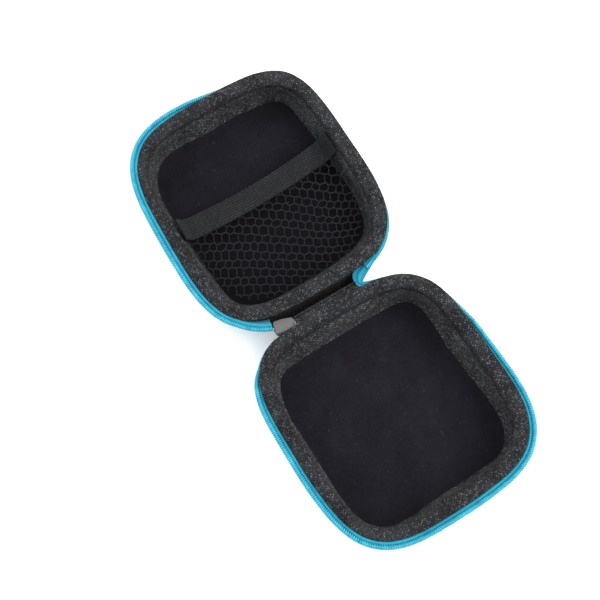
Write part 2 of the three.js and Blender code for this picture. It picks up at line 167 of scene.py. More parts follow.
# The hinge webbing's path across the gap: (from the hinge axis, height).
WEBBING_PATH = [
    (-3.55, 11.2), (-3.6, 15.2), (-2.9, 16.3), (-1.9, 16.1), (-1.15, 15.8), (-0.85, 15.0), (-0.5, 14.9),
    (-0.25, 15.6), (0.1, 15.5), (0.6, 13.4), (1.1, 10.9), (2.0, 10.1), (3.0, 10.8), (3.7, 12.4),
    (3.75, 16.0),
]
WEBBING_THICK = 0.5
WEBBING_NOTCH, WEBBING_TONGUE = -13.1, -23.0  # where it starts beside the slider, and past the slider
# Painted light and shade: how much light its threads catch, from the base edge along the lower face and back,
# with painted shade keeping it dark down in the gap.
WEBBING_PAINTED_SHADE = [(0, 0.1), (23.0, 0.1), (32.0, 0.15), (32.6, 1.0), (40, 1.0)]
# The closed end of the zip folds round the hinge's right end. Its two edges, as (x, from the axis, height):
ZIP_END_OUTER = [
    (22.5, 3.3, 17.1), (18.6, 1.3, 16.6), (15.6, -0.2, 15.9), (13.9, -1.1, 15.4), (13.9, -1.5, 15.3),
    (15.4, -2.05, 15.3), (17.7, -2.75, 15.2), (20.8, -3.4, 14.9),
]
ZIP_END_INNER = [
    (22.5, 6.2, 15.3), (18.9, 5.3, 15.0), (15.0, 4.3, 14.7), (12.1, 3.2, 14.5), (11.3, 0.3, 14.7),
    (11.6, -2.9, 15.5), (14.4, -3.5, 15.4), (19.5, -4.3, 14.6),
]

# -------- camera, floor and light

CAMERA_TARGET = Vector((-8.19, 45.75, RIM)) * MM
CAMERA_DISTANCE = 324.3 * MM
CAMERA_TILT, CAMERA_TURN, CAMERA_ROLL = 0.31, -0.453, -0.565
CAMERA_LENS, SENSOR = 57.67, 36.0
CLIP_NEAR, CLIP_FAR = 0.01, 20
LAMPS = {  # place in metres, size in metres and power in watts
    "key": ((0.6, -0.25, 0.75), 0.7, 8.5),
    "fill": ((-0.35, 0.45, 0.75), 0.6, 2),
}
SKY_STRENGTH = 1.3
FLOOR_GLOW = 0.15
FLOOR_REACH, FLOOR_TOP = 1500.0, -0.02
WHITE = (1.0, 1.0, 1.0, 1.0)


def show(name, data):
    """A new object of that data in the scene."""
    made = bpy.data.objects.new(name, data)
    bpy.context.scene.collection.objects.link(made)
    return made


def add_camera():
    back = Vector((
        math.sin(CAMERA_TILT) * math.sin(CAMERA_TURN),
        -math.sin(CAMERA_TILT) * math.cos(CAMERA_TURN),
        math.cos(CAMERA_TILT),
    ))
    right = (-back).cross(Vector((0, 1, 0))).normalized()
    up = right.cross(-back)
    side = math.cos(CAMERA_ROLL) * right + math.sin(CAMERA_ROLL) * up
    top = math.cos(CAMERA_ROLL) * up - math.sin(CAMERA_ROLL) * right
    data = bpy.data.cameras.new("camera")
    data.lens, data.sensor_width = CAMERA_LENS, SENSOR
    data.clip_start, data.clip_end = CLIP_NEAR, CLIP_FAR
    camera = show("camera", data)
    camera.matrix_world = Matrix.Translation(CAMERA_TARGET + back * CAMERA_DISTANCE) @ Matrix(
        (side, top, back)
    ).transposed().to_4x4()
    bpy.context.scene.camera = camera


def add_lamp(name, place_m, size, power):
    """A round lamp that shines at what the camera looks at."""
    data = bpy.data.lights.new(name, "AREA")
    data.shape, data.size, data.energy = "DISK", size, power
    light = show(name, data)
    light.location = place_m
    light.rotation_euler = (CAMERA_TARGET - Vector(place_m)).to_track_quat("-Z", "Y").to_euler()


def add_studio():
    scene = bpy.context.scene
    scene.view_settings.view_transform = "Standard"
    world = bpy.data.worlds.new("studio")
    world.use_nodes = True
    background = world.node_tree.nodes["Background"]
    background.inputs["Color"].default_value = WHITE
    background.inputs["Strength"].default_value = SKY_STRENGTH
    scene.world = world
    for name, settings in LAMPS.items():
        add_lamp(name, *settings)
    sides = (-FLOOR_REACH, FLOOR_REACH)
    grid = np.array([[(x, y, FLOOR_TOP) for x in sides] for y in sides])
    floor = surface("floor", grid, 0, np.zeros(2), np.zeros(2), wrap=(False, False), smooth=False)
    floor.data.materials.append(floor_material())


# -------- outline and placing


def outline(t, outward):
    """Points of a half's rounded-square outline at angles t, moved outward along its normal."""
    power, slope = 2 / SQUARENESS, SQUARENESS - 1
    c, s = np.cos(t), np.sin(t)
    x = HALF_WIDTH * np.sign(c) * np.abs(c) ** power
    y = HALF_LENGTH * np.sign(s) * np.abs(s) ** power
    nx = np.sign(x) * np.abs(x / HALF_WIDTH) ** slope / HALF_WIDTH
    ny = np.sign(y) * np.abs(y / HALF_LENGTH) ** slope / HALF_LENGTH
    length = np.hypot(nx, ny)
    return x + outward * nx / length, y + outward * ny / length


def even_angles(start, end, closed):
    """Angles from start down to end, evenly spaced along the outline, and their distances along it."""
    fine = np.linspace(start, end, FINE)
    x, y = outline(fine, 0)
    run = np.concatenate([[0], np.cumsum(np.hypot(np.diff(x), np.diff(y)))])
    wanted = np.linspace(0, run[-1], AROUND + 1)
    t = np.interp(wanted, run, fine)
    return (t[:-1] if closed else t), wanted


FULL_ANGLES, FULL_RUN = even_angles(math.pi / 2, math.pi / 2 - 2 * math.pi, True)
ZIPS = {half: even_angles(ZIP_START, end, False) for half, end in ZIP_ENDS.items()}


def smoothstep(value, low, high):
    share = np.clip((value - low) / (high - low), 0, 1)
    return share * share * (3 - 2 * share)


def keyed(keys, x, y, blur=9):
    """A value for each point from (direction in degrees, value) keys, blurred over that many degrees each
    way. 0 is right and 90 is the hinge side."""
    degrees = np.arange(-180 - blur, 181 + blur)
    inside = (degrees + 180) % 360 - 180
    window = np.hanning(2 * blur + 3)[1:-1]
    table = np.convolve(np.interp(inside, *zip(*keys)), window / window.sum(), "valid")
    return np.interp(np.degrees(np.arctan2(y, x)), degrees[blur:-blur], table)


BULGE_AT_BACK = 0.35  # the flat back's share of the rim's bulge
BULGE_FROM = 12  # the height from which all of it is there


def settled(p, half):
    """The half's points moved out by the rim's bulge, less and less towards the middle and the back."""
    x, y = p[..., 0], p[..., 1]
    out = (np.abs(x / HALF_WIDTH) ** SQUARENESS + np.abs(y / HALF_LENGTH) ** SQUARENESS) ** (1 / SQUARENESS)
    upward = BULGE_AT_BACK + (1 - BULGE_AT_BACK) * smoothstep(p[..., 2], 0, BULGE_FROM)
    share = np.clip(out, 0, 1) ** 4 * upward
    move = keyed(BULGE[half], x, y) * share / np.maximum(np.hypot(x, y), TINY)
    return np.stack([x + x * move, y + y * move, p[..., 2]], -1)


def place(points, half):
    """Points in the shared frame, in metres. The lid's half is turned round and lifted about the hinge."""
    p = np.asarray(points, float)
    if half in BULGE:
        p = settled(p, half)
    if half == "lid":
        away, up = AXIS_Y - p[..., 1], p[..., 2] - RIM
        c, s = math.cos(LID_LIFT), math.sin(LID_LIFT)
        p = np.stack([p[..., 0], AXIS_Y + away * c - up * s, RIM + away * s + up * c], -1)
    return p * MM


def rounded(points, passes=3):
    """An open path with its corners cut round, by Chaikin's rule. Its ends stay."""
    p = np.array(points, float)
    for _ in range(passes):
        near, far = 0.75 * p[:-1] + 0.25 * p[1:], 0.25 * p[:-1] + 0.75 * p[1:]
        middle = np.stack([near, far], 1).reshape(-1, p.shape[1])
        p = np.concatenate([p[:1], middle[1:-1], p[-1:]])
    return p


def lengths(path):
    steps = np.linalg.norm(np.diff(path, axis=0), axis=1)
    return np.concatenate([[0], np.cumsum(steps)])


def sampled(path, run, wanted):
    """The path's points at the wanted distances. run is how far along it each of its own points is."""
    return np.stack([np.interp(wanted, run, path[:, k]) for k in range(path.shape[1])], -1)


def resample(path, count):
    run = lengths(path)
    return sampled(path, run, np.linspace(0, run[-1], count))


def lean(half, t):
    """How far the zip leans out at angles t, 0 to 1."""
    return keyed(LEAN[half], *outline(t, 0), blur=4)


def bumpy(points, size, seed):
    """Smooth noise from -1 to 1 at the points, with lumps of that size."""
    flat = points.reshape(-1, 3) / size + seed
    return np.array([noise.noise(Vector(p)) for p in flat]).reshape(points.shape[:-1])


# -------- meshes


def grid_faces(rows, columns, wrap):
    i = np.arange(rows if wrap[0] else rows - 1)
    j = np.arange(columns if wrap[1] else columns - 1)
    i, j = (a.ravel() for a in np.meshgrid(i, j, indexing="ij"))
    i2, j2 = (i + 1) % rows, (j + 1) % columns
    corners = np.stack([i * columns + j, i * columns + j2, i2 * columns + j2, i2 * columns + j], -1)
    return corners, i, j


def new_object(name, vertices, faces, uv=None, smooth=True):
    mesh = bpy.data.meshes.new(name)
    mesh.from_pydata(np.asarray(vertices).tolist(), [], faces)
    if uv is not None:
        layer = mesh.uv_layers.new(name="weave")
        layer.data.foreach_set("uv", np.asarray(uv, np.float32).ravel())
    mesh.polygons.foreach_set("use_smooth", [smooth] * len(mesh.polygons))
    made = bmesh.new()
    made.from_mesh(mesh)
    bmesh.ops.recalc_face_normals(made, faces=made.faces)
    made.to_mesh(mesh)
    made.free()
    return show(name, mesh)


def surface(name, grid, half, u, v, wrap=(True, True), smooth=True):
    """A mesh from a grid of points. u and v are the cloth's own coordinates along rows and columns."""
    rows, columns = grid.shape[:2]
    corners, i, j = grid_faces(rows, columns, wrap)
    faces = corners.tolist()
    pairs = [(i, j), (i, j + 1), (i + 1, j + 1), (i + 1, j)]
    uv = np.stack([np.stack([u[a], v[b]], -1) for a, b in pairs], 1).reshape(-1, 2)
    if wrap == (False, True):
        faces += [list(range(columns)), list(range((rows - 1) * columns, rows * columns))]
        uv = np.concatenate([uv, np.tile([u[0], v[0]], (2 * columns, 1))])
    if wrap == (True, False):
        faces += [[row * columns for row in range(rows)], [(row + 1) * columns - 1 for row in range(rows)]]
        uv = np.concatenate([uv, np.tile([u[0], v[0]], (2 * rows, 1))])
    return new_object(name, place(grid, half).reshape(-1, 3), faces, uv, smooth)


def strip(name, grid, half, along, run, edge=0.0):
    """A closed strip whose columns run round its section. edge is the way from the last to the first."""
    return surface(name, grid, half, along, np.append(run, run[-1] + edge), wrap=(False, True))


def tube_grid(path, radius, sides):
    """Rings of points round a path."""
    path = np.asarray(path, float)
    tangent = np.gradient(path, axis=0)
    tangent /= np.linalg.norm(tangent, axis=1)[:, None]
    start = np.array([0, 0, 1.0]) if abs(tangent[0][2]) < 0.9 else np.array([1.0, 0, 0])
    normal = np.cross(tangent[0], start)
    normals = []
    for along in tangent:
        normal = normal - along * (normal @ along)
        normal /= np.linalg.norm(normal)
        normals.append(normal)
    normals = np.array(normals)
    across = np.cross(tangent, normals)
    angle = np.linspace(0, 2 * math.pi, sides, endpoint=False)
    ring = np.cos(angle)[None, :, None] * normals[:, None] + np.sin(angle)[None, :, None] * across[:, None]
    return path[:, None] + ring * radius


def tubes(name, grids, half):
    """One mesh of many closed tubes."""
    vertices, faces, count = [], [], 0
    for grid in grids:
        rows, sides = grid.shape[:2]
        corners, _, _ = grid_faces(rows, sides, (False, True))
        faces += (corners + count).tolist()
        faces.append(list(range(count, count + sides)))
        faces.append(list(range(count + (rows - 1) * sides, count + rows * sides)))
        vertices.append(grid.reshape(-1, 3))
        count += rows * sides
    return new_object(name, place(np.concatenate(vertices), half), faces)


UP = (0, 0, 1.0)
# A stitch's arch: shares of its length, and its height there in thread radii.
ARCH_SHARES = np.array([0, 0.12, 0.5, 0.88, 1])
ARCH_HEIGHTS = np.array([-1.1, 0.4, 0.75, 0.4, -1.1])


def stitches(path, up=UP, stitch=2.3, gap=0.7, radius=0.17):
    """Short arched threads along a path, which dip into the cloth at both ends."""
    run = lengths(path)
    up = np.broadcast_to(up, path.shape)
    heights = ARCH_HEIGHTS[:, None] * radius
    grids = []
    for start in np.arange(0, run[-1] - stitch, stitch + gap):
        wanted = start + ARCH_SHARES * stitch
        arch = sampled(path, run, wanted) + sampled(up, run, wanted) * heights
        grids.append(tube_grid(arch, radius, 6))
    return grids


MATERIALS = {}


def sew(name, threads, half, node):
    return dress(tubes(name, threads, half), half, "thread", "thread", node)


def dress(obj, body, material, slot, *nodes):
    """Gives a piece its material, hides the CAD nodes it stands for and hangs it on the body it rides on.
    slot is not used.
    """
    obj.data.materials.append(MATERIALS[material])
    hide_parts(*nodes)
    if body:
        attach(obj, body)
    return obj


# -------- materials


class Shader:
    """A material's node tree, with one short call for each node."""

    def __init__(self, name):
        self.material = bpy.data.materials.new(name)
        self.material.use_nodes = True
        self.tree = self.material.node_tree
        self.bsdf = self.tree.nodes["Principled BSDF"]

    def node(self, kind, *sources, **settings):
        """A node of that kind. sources feed its inputs in order, and None leaves one as it is."""
        made = self.tree.nodes.new("ShaderNode" + kind)
        for key, value in settings.items():
            setattr(made, key, value)
        for socket, source in zip(made.inputs, sources):
            self.feed(socket, source)
        return made

    def feed(self, socket, source):
        if source is None:
            return
        if isinstance(source, (int, float, tuple)):
            socket.default_value = source
            return
        if not isinstance(source, bpy.types.NodeSocket):
            source = source.outputs[0]
        self.tree.links.new(source, socket)

    def math(self, operation, a, b=None):
        return self.node("Math", a, b, operation=operation).outputs[0]

    def times(self, a, b):
        return self.math("MULTIPLY", a, b)

    def plus(self, a, b):
        return self.math("ADD", a, b)

    def mix(self, share, a, b):
        made = self.node("Mix", data_type="RGBA")
        for index, source in ((0, share), (6, a), (7, b)):
            self.feed(made.inputs[index], source)
        return made.outputs[2]

    def ramp(self, value, low, high, start=0.0, end=1.0):
        """value stretched so that low becomes start and high becomes end."""
        return self.node("MapRange", value, low, high, start, end).outputs[0]

    def keys(self, value, keys):
        """A number from 0 to 2 that runs through (value, number) keys."""
        reach = keys[-1][0]
        made = self.node("ValToRGB", self.math("DIVIDE", value, float(reach)))
        elements = made.color_ramp.elements
        while len(elements) < len(keys):
            elements.new(0.5)
        for element, (at, number) in zip(elements, keys):
            element.position = at / reach
            element.color = (number / 2, number / 2, number / 2, 1.0)
        return self.times(made.outputs[0], 2.0)

    def noise(self, scale, detail=2.0, stretch=(1, 1, 1)):
        """Fractal noise whose lumps are 1 / scale metres across."""
        mapped = self.node("Mapping", self.node("TexCoord").outputs["Object"], None, None, stretch)
        made = self.node("TexNoise", mapped)
        made.inputs["Scale"].default_value = scale
        made.inputs["Detail"].default_value = detail
        return made.outputs[0]

    def cloth_uv(self):
        """The cloth's own two coordinates, in millimetres."""
        parts = self.node("SeparateXYZ", self.node("UVMap", uv_map="weave"))
        return parts.outputs[0], parts.outputs[1]

    def wave(self, coordinate, pitch):
        """A sine wave from -1 to 1 along a coordinate."""
        return self.math("SINE", self.times(coordinate, 2 * math.pi / pitch))

    def bump(self, height, distance, strength=1.0, below=None):
        made = self.node("Bump")
        made.inputs["Strength"].default_value = strength
        made.inputs["Distance"].default_value = distance
        self.feed(made.inputs["Height"], height)
        self.feed(made.inputs["Normal"], below)
        return made.outputs[0]

    def finish(self, color, roughness, normal=None, sheen=0.0, specular=0.5, metallic=0.0):
        """The material, with its even settings on the shader's own sockets."""
        sources = {
            "Base Color": color, "Roughness": roughness, "Normal": normal, "Sheen Weight": sheen,
            "Specular IOR Level": specular, "Metallic": metallic,
        }
        for name, source in sources.items():
            self.feed(self.bsdf.inputs[name], source)
        return self.material


def rgb(red, green, blue):
    """An sRGB colour, each channel 0 to 255, as linear light."""
    linear = [c / 255 / 12.92 if c < 11 else ((c / 255 + 0.055) / 1.055) ** 2.4 for c in (red, green, blue)]
    return (*linear, 1.0)


def floor_material():
    shader = Shader("pale_floor")
    tone = shader.mix(shader.noise(3.0), rgb(248, 248, 248), rgb(251, 251, 251))
    shader.bsdf.inputs["Emission Color"].default_value = WHITE
    shader.bsdf.inputs["Emission Strength"].default_value = FLOOR_GLOW
    return shader.finish(tone, 0.9, specular=0.2)


CLOTH_ROUGHNESS, FLEECE_ROUGHNESS = 0.85, 0.95
GRAIN_SCALE, PATCH_SCALE = 1500, 140  # lumps a metre in the threads' fuzz, and in the worn patches
GRAIN_DEPTH = 0.00008
CHANCE_RISE = 0.8  # how much a thread's chance adds to its height
LIT_FROM, LIT_FULL = -0.6, 1.3  # the heights between which threads begin to catch the light and catch it all
RIB_RISE = 1.5
FIBRE_SCALE, NAP_SCALE, LINT_SCALE = 2600, 120, 900
FIBRE_DEPTH, NAP_DEPTH = 0.00022, 0.0004
# the share of its tone the lid's lining keeps under the net: painted shade
UNDER_NET_PAINTED_SHADE = 0.25


def weave_material(
    name, dark, light, pitch, depth, rib=0.0, speck=0.7, wear_and_light=(), sheen=0.03, patches=0.2, specular=0.12,
):
    """Woven cloth. Raised threads are painted lighter, a painted highlight as if they caught the light, each
    by its own chance, which varies by speck. rib sinks the rows between ribs of that width and colours them
    darker, painted shade in the grooves. The keys of how much light the threads catch, 0 to 2, as (mm from
    the cloth's first edge, share), paint light and shade across the cloth's section."""
    shader = Shader(name)
    u, v = shader.cloth_uv()
    height = shader.times(shader.wave(u, 2 * pitch), shader.wave(v, 2 * pitch))
    cell = [shader.math("FLOOR", shader.math("DIVIDE", way, pitch)) for way in (u, v)]
    cell = shader.node("CombineXYZ", *cell)
    chance = shader.math("POWER", shader.node("TexWhiteNoise", cell, noise_dimensions="2D"), 3.0)
    grain = shader.noise(GRAIN_SCALE, 3.0)
    patch = shader.noise(PATCH_SCALE, 2.0)
    # painted highlight: the raised threads are coloured lighter, as if lit
    lit = shader.ramp(shader.plus(height, shader.times(chance, CHANCE_RISE)), LIT_FROM, LIT_FULL)
    share = shader.times(lit, shader.plus(shader.times(chance, speck), 1 - speck))
    share = shader.times(share, shader.ramp(grain, 0.2, 0.6))
    share = shader.plus(share, shader.times(shader.ramp(patch, 0.35, 0.7), patches))
    if wear_and_light:
        # painted light and shade along the cloth's section, from the keys
        share = shader.times(share, shader.keys(v, wear_and_light))
    if rib:
        ridge = shader.math("ABSOLUTE", shader.wave(v, 2 * rib))
        # painted shade: the rows between ribs are coloured darker as well as sunk
        share = shader.times(share, shader.ramp(ridge, -0.1, 0.8))
        height = shader.plus(height, shader.times(ridge, RIB_RISE))
    color = shader.mix(shader.node("Clamp", share), dark, light)
    normal = shader.bump(height, depth, 1.0, shader.bump(grain, GRAIN_DEPTH, 0.6))
    return shader.finish(color, CLOTH_ROUGHNESS, normal, sheen, specular)


def fleece_material(name, dark, light, painted_shade_from=None):
    """Brushed lining cloth: short fibres in patches, and a few pale flecks of lint. From the given distance
    towards the hinge, under the pocket's net, its colour is darkened: painted shade from the net."""
    shader = Shader(name)
    fibre = shader.noise(FIBRE_SCALE, 4.0, stretch=(1, 0.35, 1))
    patch = shader.noise(NAP_SCALE, 3.0)
    share = shader.plus(shader.ramp(fibre, 0.3, 0.8), shader.times(shader.ramp(patch, 0.3, 0.7), 0.5))
    share = shader.times(share, 0.66)
    if painted_shade_from is not None:
        # painted shade from the pocket's net: darker towards the hinge
        back = shader.cloth_uv()[1]
        share = shader.times(share, shader.ramp(back, painted_shade_from - 3, painted_shade_from + 2, 1.0, UNDER_NET_PAINTED_SHADE))
    color = shader.mix(share, dark, light)
    flecks = shader.ramp(shader.noise(LINT_SCALE, 1.0, stretch=(1, 2.2, 1)), 0.74, 0.8)
    color = shader.mix(shader.times(flecks, 0.5), color, rgb(78, 76, 84))
    normal = shader.bump(fibre, FIBRE_DEPTH, 0.7, shader.bump(patch, NAP_DEPTH, 0.5))
    return shader.finish(color, FLEECE_ROUGHNESS, normal, 0.03, 0.1)


# Painted light and shade across the binding's section: duller over the rolled rim, painted shade in the
# crease below it, brighter down the inner wall.
BINDING_PAINTED_LIGHT = [(0, 0.7), (5.2, 0.7), (7.4, 0.4), (8.8, 0.4), (9.6, 1.3), (20, 1.3), (40, 1.0)]
COATED = {"patches": 0.4, "sheen": 0.1, "specular": 0.3}


def make_materials():
    return {
        "binding": weave_material(
            "binding_weave", rgb(16, 16, 18), rgb(106, 108, 113), 0.56, 0.00022, speck=0.86, patches=0.14,
            wear_and_light=BINDING_PAINTED_LIGHT,
        ),
        "webbing": weave_material(
            "webbing_rib", rgb(5, 5, 6), rgb(88, 89, 93), 0.55, 0.00012, patches=0.1, wear_and_light=WEBBING_PAINTED_SHADE,
        ),
        "thread": weave_material("thread_twist", rgb(14, 14, 16), rgb(60, 61, 64), 0.3, 0.00004),
        "tape": weave_material(
            "zip_tape_weave", rgb(8, 112, 140), rgb(40, 160, 184), 0.3, 0.00005, speck=0.3, **COATED,
        ),
        "cover": weave_material(
            "cover_weave", rgb(10, 104, 132), rgb(38, 152, 178), 0.42, 0.00012, speck=0.35, **COATED,
        ),
        "elastic": weave_material(
            "elastic_rib", rgb(18, 19, 21), rgb(50, 53, 56), 0.4, 0.0001, rib=0.9, speck=0.4,
        ),
        "base_fleece": fleece_material("base_lining_fleece", rgb(11, 10, 14), rgb(31, 29, 37)),
        # painted shade: the lid's lining is darkened towards the hinge, under the net
        "lid_fleece": fleece_material("lid_lining_fleece", rgb(10, 9, 13), rgb(30, 28, 36), painted_shade_from=0.0),
        "net": yarn_material(),
        "coil": nylon_material(),
        "foam": foam_material(),
        "metal": metal_material(),
    }


def yarn_material():
    shader = Shader("net_yarn")
    strand = shader.noise(3000, 2.0)
    color = shader.mix(shader.ramp(strand, 0.3, 0.7), rgb(11, 11, 14), rgb(30, 30, 34))
    return shader.finish(color, 0.75, shader.bump(strand, 0.00004, 0.5), 0.03, 0.2)


def nylon_material():
    shader = Shader("coil_nylon")
    wear_and_light = shader.noise(400, 3.0)
    color = shader.mix(shader.ramp(wear_and_light, 0.3, 0.7), rgb(22, 134, 160), rgb(50, 168, 190))
    rough = shader.ramp(wear_and_light, 0.3, 0.7, 0.32, 0.5)
    return shader.finish(color, rough, shader.bump(wear_and_light, 0.00002, 0.4))


def foam_material():
    shader = Shader("eva_foam")
    cells = shader.noise(1800, 3.0)
    color = shader.mix(cells, rgb(26, 26, 29), rgb(52, 52, 56))
    return shader.finish(color, 0.9, shader.bump(cells, 0.0001, 0.7), 0.0, 0.2)


def metal_material():
    shader = Shader("slider_metal")
    grain = shader.noise(1500, 4.0, stretch=(1, 6, 1))
    wear_and_light = shader.noise(250, 2.0)
    color = shader.mix(shader.ramp(wear_and_light, 0.3, 0.7), rgb(84, 83, 82), rgb(94, 93, 92))
    rough = shader.ramp(grain, 0.3, 0.7, 0.38, 0.52)
    return shader.finish(color, rough, shader.bump(grain, 0.00002, 0.3), metallic=0.35)


# -------- the two halves


WALL_HEIGHTS = (8, 16)  # the inner wall goes from WALL_LOW to WALL_RIM between these
WALL_FROM_FLOOR = (-11, -6.5)  # the floor's edge begins to follow the wall here, and follows it fully here
WALL_FROM_RIM = (2.4, 3.6)  # and the same from the rim, inward


def wall_grid(section, t, half=None):
    """Rows of points round the outline at angles t, one column for each point of the section. With a half
    named, the section's inner part follows that half's inner wall."""
    out, high = section[:, 0][None, :], section[:, 1][None, :]
    if half:
        at = outline(t, 0)
        low, rim = (keyed(keys[half], *at)[:, None] for keys in (WALL_LOW, WALL_RIM))
        shift = low + (rim - low) * smoothstep(high, *WALL_HEIGHTS)
        out = out + shift * smoothstep(out, *WALL_FROM_FLOOR) * smoothstep(-out, *WALL_FROM_RIM)
    x, y = outline(t[:, None], out)
    return np.stack([x, y, np.broadcast_to(high, x.shape)], -1)


FLAT_SHARES = (0.04, 0.2, 0.4, 0.6, 0.75, 0.88)  # rings on a flat bottom, as shares of the way out
COVER_PANEL = ((0.0, 0.0), (0.8, 0.0), (0.83, 0.3), (0.87, 0.3), (0.9, 0.0), (1.0, 0.0))


def cup_grid(outer, inner, panel, follow):
    """A cup as one grid: from the middle of its underside, up the outside, over the rim and down to the
    floor's middle. panel adds (share of the way out, rise) steps to the underside, and follow names the half
    whose inner wall the outer and the inner section follow."""
    t = FULL_ANGLES
    under = wall_grid(np.array([outer[-1]]), t)
    floor = wall_grid(np.array([inner[0]]), t)
    steps = sorted({*FLAT_SHARES, *(share for share, _ in panel)})
    rises = np.interp(steps, *zip(*panel or [(0, 0)]))
    below = np.concatenate([under * (share, share, 1) + (0, 0, rise) for share, rise in zip(steps, rises)], 1)
    above = np.concatenate([floor * (share, share, 1) for share in FLAT_SHARES[::-1]], 1)
    outside = wall_grid(rounded(outer)[::-1], t, follow[0])
    inside = wall_grid(rounded(inner)[::-1], t, follow[1])
    return np.concatenate([below, outside, inside, above], 1)


def draped_uv(grid):
    """Cloth coordinates for a cup: flat over its middle, and on down the walls by their own length."""
    x, y = grid[..., 0], grid[..., 1]
    steps = np.linalg.norm(np.diff(grid, axis=1), axis=2).mean(0)
    run = np.concatenate([[0], np.cumsum(steps)])
    flat = np.hypot(x, y).mean(0)
    scale = run / np.maximum(flat, TINY)
    return x * scale, y * scale


def cup(name, half, outer, inner, follow, panel=()):
    grid = cup_grid(outer, inner, panel, follow)
    obj = surface(name, grid, half, FULL_RUN, np.zeros(grid.shape[1] + 1), wrap=(True, False))
    flat_u, flat_v = draped_uv(grid)
    index = np.empty(len(obj.data.loops), np.int32)
    obj.data.loops.foreach_get("vertex_index", index)
    uv = np.stack([flat_u.ravel()[index], flat_v.ravel()[index]], -1)
    obj.data.uv_layers["weave"].data.foreach_set("uv", uv.astype(np.float32).ravel())
    return obj


def build_cups(half):
    cover = cup(half + "_cover_cloth", half, COVER_OUTER, COVER_INNER, (None, None), COVER_PANEL)
    dress(cover, half, "cover", "cover_cloth", half + "_cover")
    shell = cup(half + "_moulded_foam", half, SHELL_OUTER, SHELL_INNER, (None, half))
    dress(shell, half, "foam", "foam", half + "_foam_shell")
    lining = cup(half + "_fleece_lining", half, LINING_OUTER, LINING_INNER, (half, half))
    dress(lining, half, half + "_fleece", "lining_fleece", half + "_lining")


LUMPS, FINE_LUMPS, FRAY = 6.0, 2.2, 1.3  # the sizes of the binding's lumps, and of its frayed lower edge's
LUMP_DEPTH, FRAY_DEPTH = 0.14, 0.35
FRAY_HEIGHTS = (4.5, 7.5)
BINDING_SEEDS = {"base": 3.1, "lid": 17.7}


def build_binding(half):
    face, back = rounded(BINDING_FACE), rounded(BINDING_BACK, 2)
    section = np.concatenate([face, back])
    grid = wall_grid(section, FULL_ANGLES, half)
    seed = BINDING_SEEDS[half]
    lumps = bumpy(grid, LUMPS, seed) + 0.4 * bumpy(grid, FINE_LUMPS, seed + 6)
    inward = -grid * (1, 1, 0) / np.maximum(np.linalg.norm(grid[..., :2], axis=2), TINY)[..., None]
    grid = grid + inward * (LUMP_DEPTH * lumps)[..., None] - (0, 0, 0.02)
    ragged = bumpy(grid[:, :1] * (1, 1, 0) + (0, 0, seed), FRAY, 4.4)
    grid[..., 2] += FRAY_DEPTH * ragged * (1 - smoothstep(grid[..., 2], *FRAY_HEIGHTS))
    run = lengths(np.concatenate([section, section[:1]]))
    obj = surface(half + "_woven_binding", grid, half, FULL_RUN, run)
    dress(obj, half, "binding", "binding_tape", half + "_rim_binding")


def build_binding_stitches(half):
    t = np.append(FULL_ANGLES, FULL_ANGLES[0])
    out, high = BINDING_STITCH
    path = wall_grid(np.array([(out, high)]), t, half)[:, 0]
    inward = wall_grid(np.array([(out - 1, high)]), t, half)[:, 0] - path
    sew(half + "_binding_stitches", stitches(path, inward + (0, 0, 0.35)), half, half + "_binding_thread")


DRIFT_HEIGHTS = (9.8, 14)  # the tape's foot stays in place, and its free edge drifts fully
DRIFT_DROP = 0.35


def thickened(paths, thick):
    """Closed loops round flat paths: along one side of each and back along the other."""
    ahead = np.gradient(paths, axis=-2)
    normal = np.stack([-ahead[..., 1], ahead[..., 0]], -1)
    normal *= thick / 2 / np.linalg.norm(normal, axis=-1)[..., None]
    return np.concatenate([paths + normal, (paths - normal)[..., ::-1, :]], -2)


def leaning(half, tucked, out, t):
    """A section between its tucked and its leaning shape, at each angle: an array (angle, point, 2)."""
    share = lean(half, t)[:, None, None]
    section = np.array(tucked)[None] * (1 - share) + np.array(out)[None] * share
    x, y = outline(t, 0)
    drift = keyed(ZIP_DRIFT[half], x, y, blur=1)[:, None]
    section[..., 0] += drift * smoothstep(section[..., 1], *DRIFT_HEIGHTS)
    section[..., 1] -= DRIFT_DROP * drift * (section[..., 1] > DRIFT_HEIGHTS[1])
    return section


def build_tape(half):
    t, around = ZIPS[half]
    loop = thickened(leaning(half, rounded(TAPE_TUCKED), rounded(TAPE_OUT), t), TAPE_THICK)
    x, y = outline(t[:, None], loop[..., 0])
    grid = np.stack([x, y, loop[..., 1]], -1)
    obj = strip(half + "_zip_tape_cloth", grid, half, around, lengths(loop[len(t) // 2]))
    dress(obj, half, "tape", "zip_tape", half + "_zip_tape")


def coil_path(around, t, middle):
    """A flattened helix. t and middle are its angle on the outline and its (out, height) at each distance."""
    turns = int(around[-1] / COIL_PITCH)
    angle = np.linspace(0, turns * 2 * math.pi, turns * COIL_STEPS + 1)
    distance = angle / (2 * math.pi) * COIL_PITCH
    out, high = sampled(middle, around, distance).T
    x, y = outline(np.interp(distance, around, t), out + COIL_HALF_WIDTH * np.cos(angle))
    return np.stack([x, y, high + COIL_HALF_HEIGHT * np.sin(angle)], -1)


def build_coil(half):
    t, around = ZIPS[half]
    middle = leaning(half, [COIL_TUCKED], [COIL_OUT], t)[:, 0]
    x, y = outline(t, middle[:, 0])
    core = np.stack([x, y, middle[:, 1]], -1)
    grids = [tube_grid(coil_path(around, t, middle), COIL_WIRE, 6), tube_grid(core[::3], COIL_CORE, 8)]
    obj = tubes(half + "_zip_teeth", grids, half)
    dress(obj, half, "coil", "zip_coil", half + "_zip_coil")


# -------- the lid's pocket

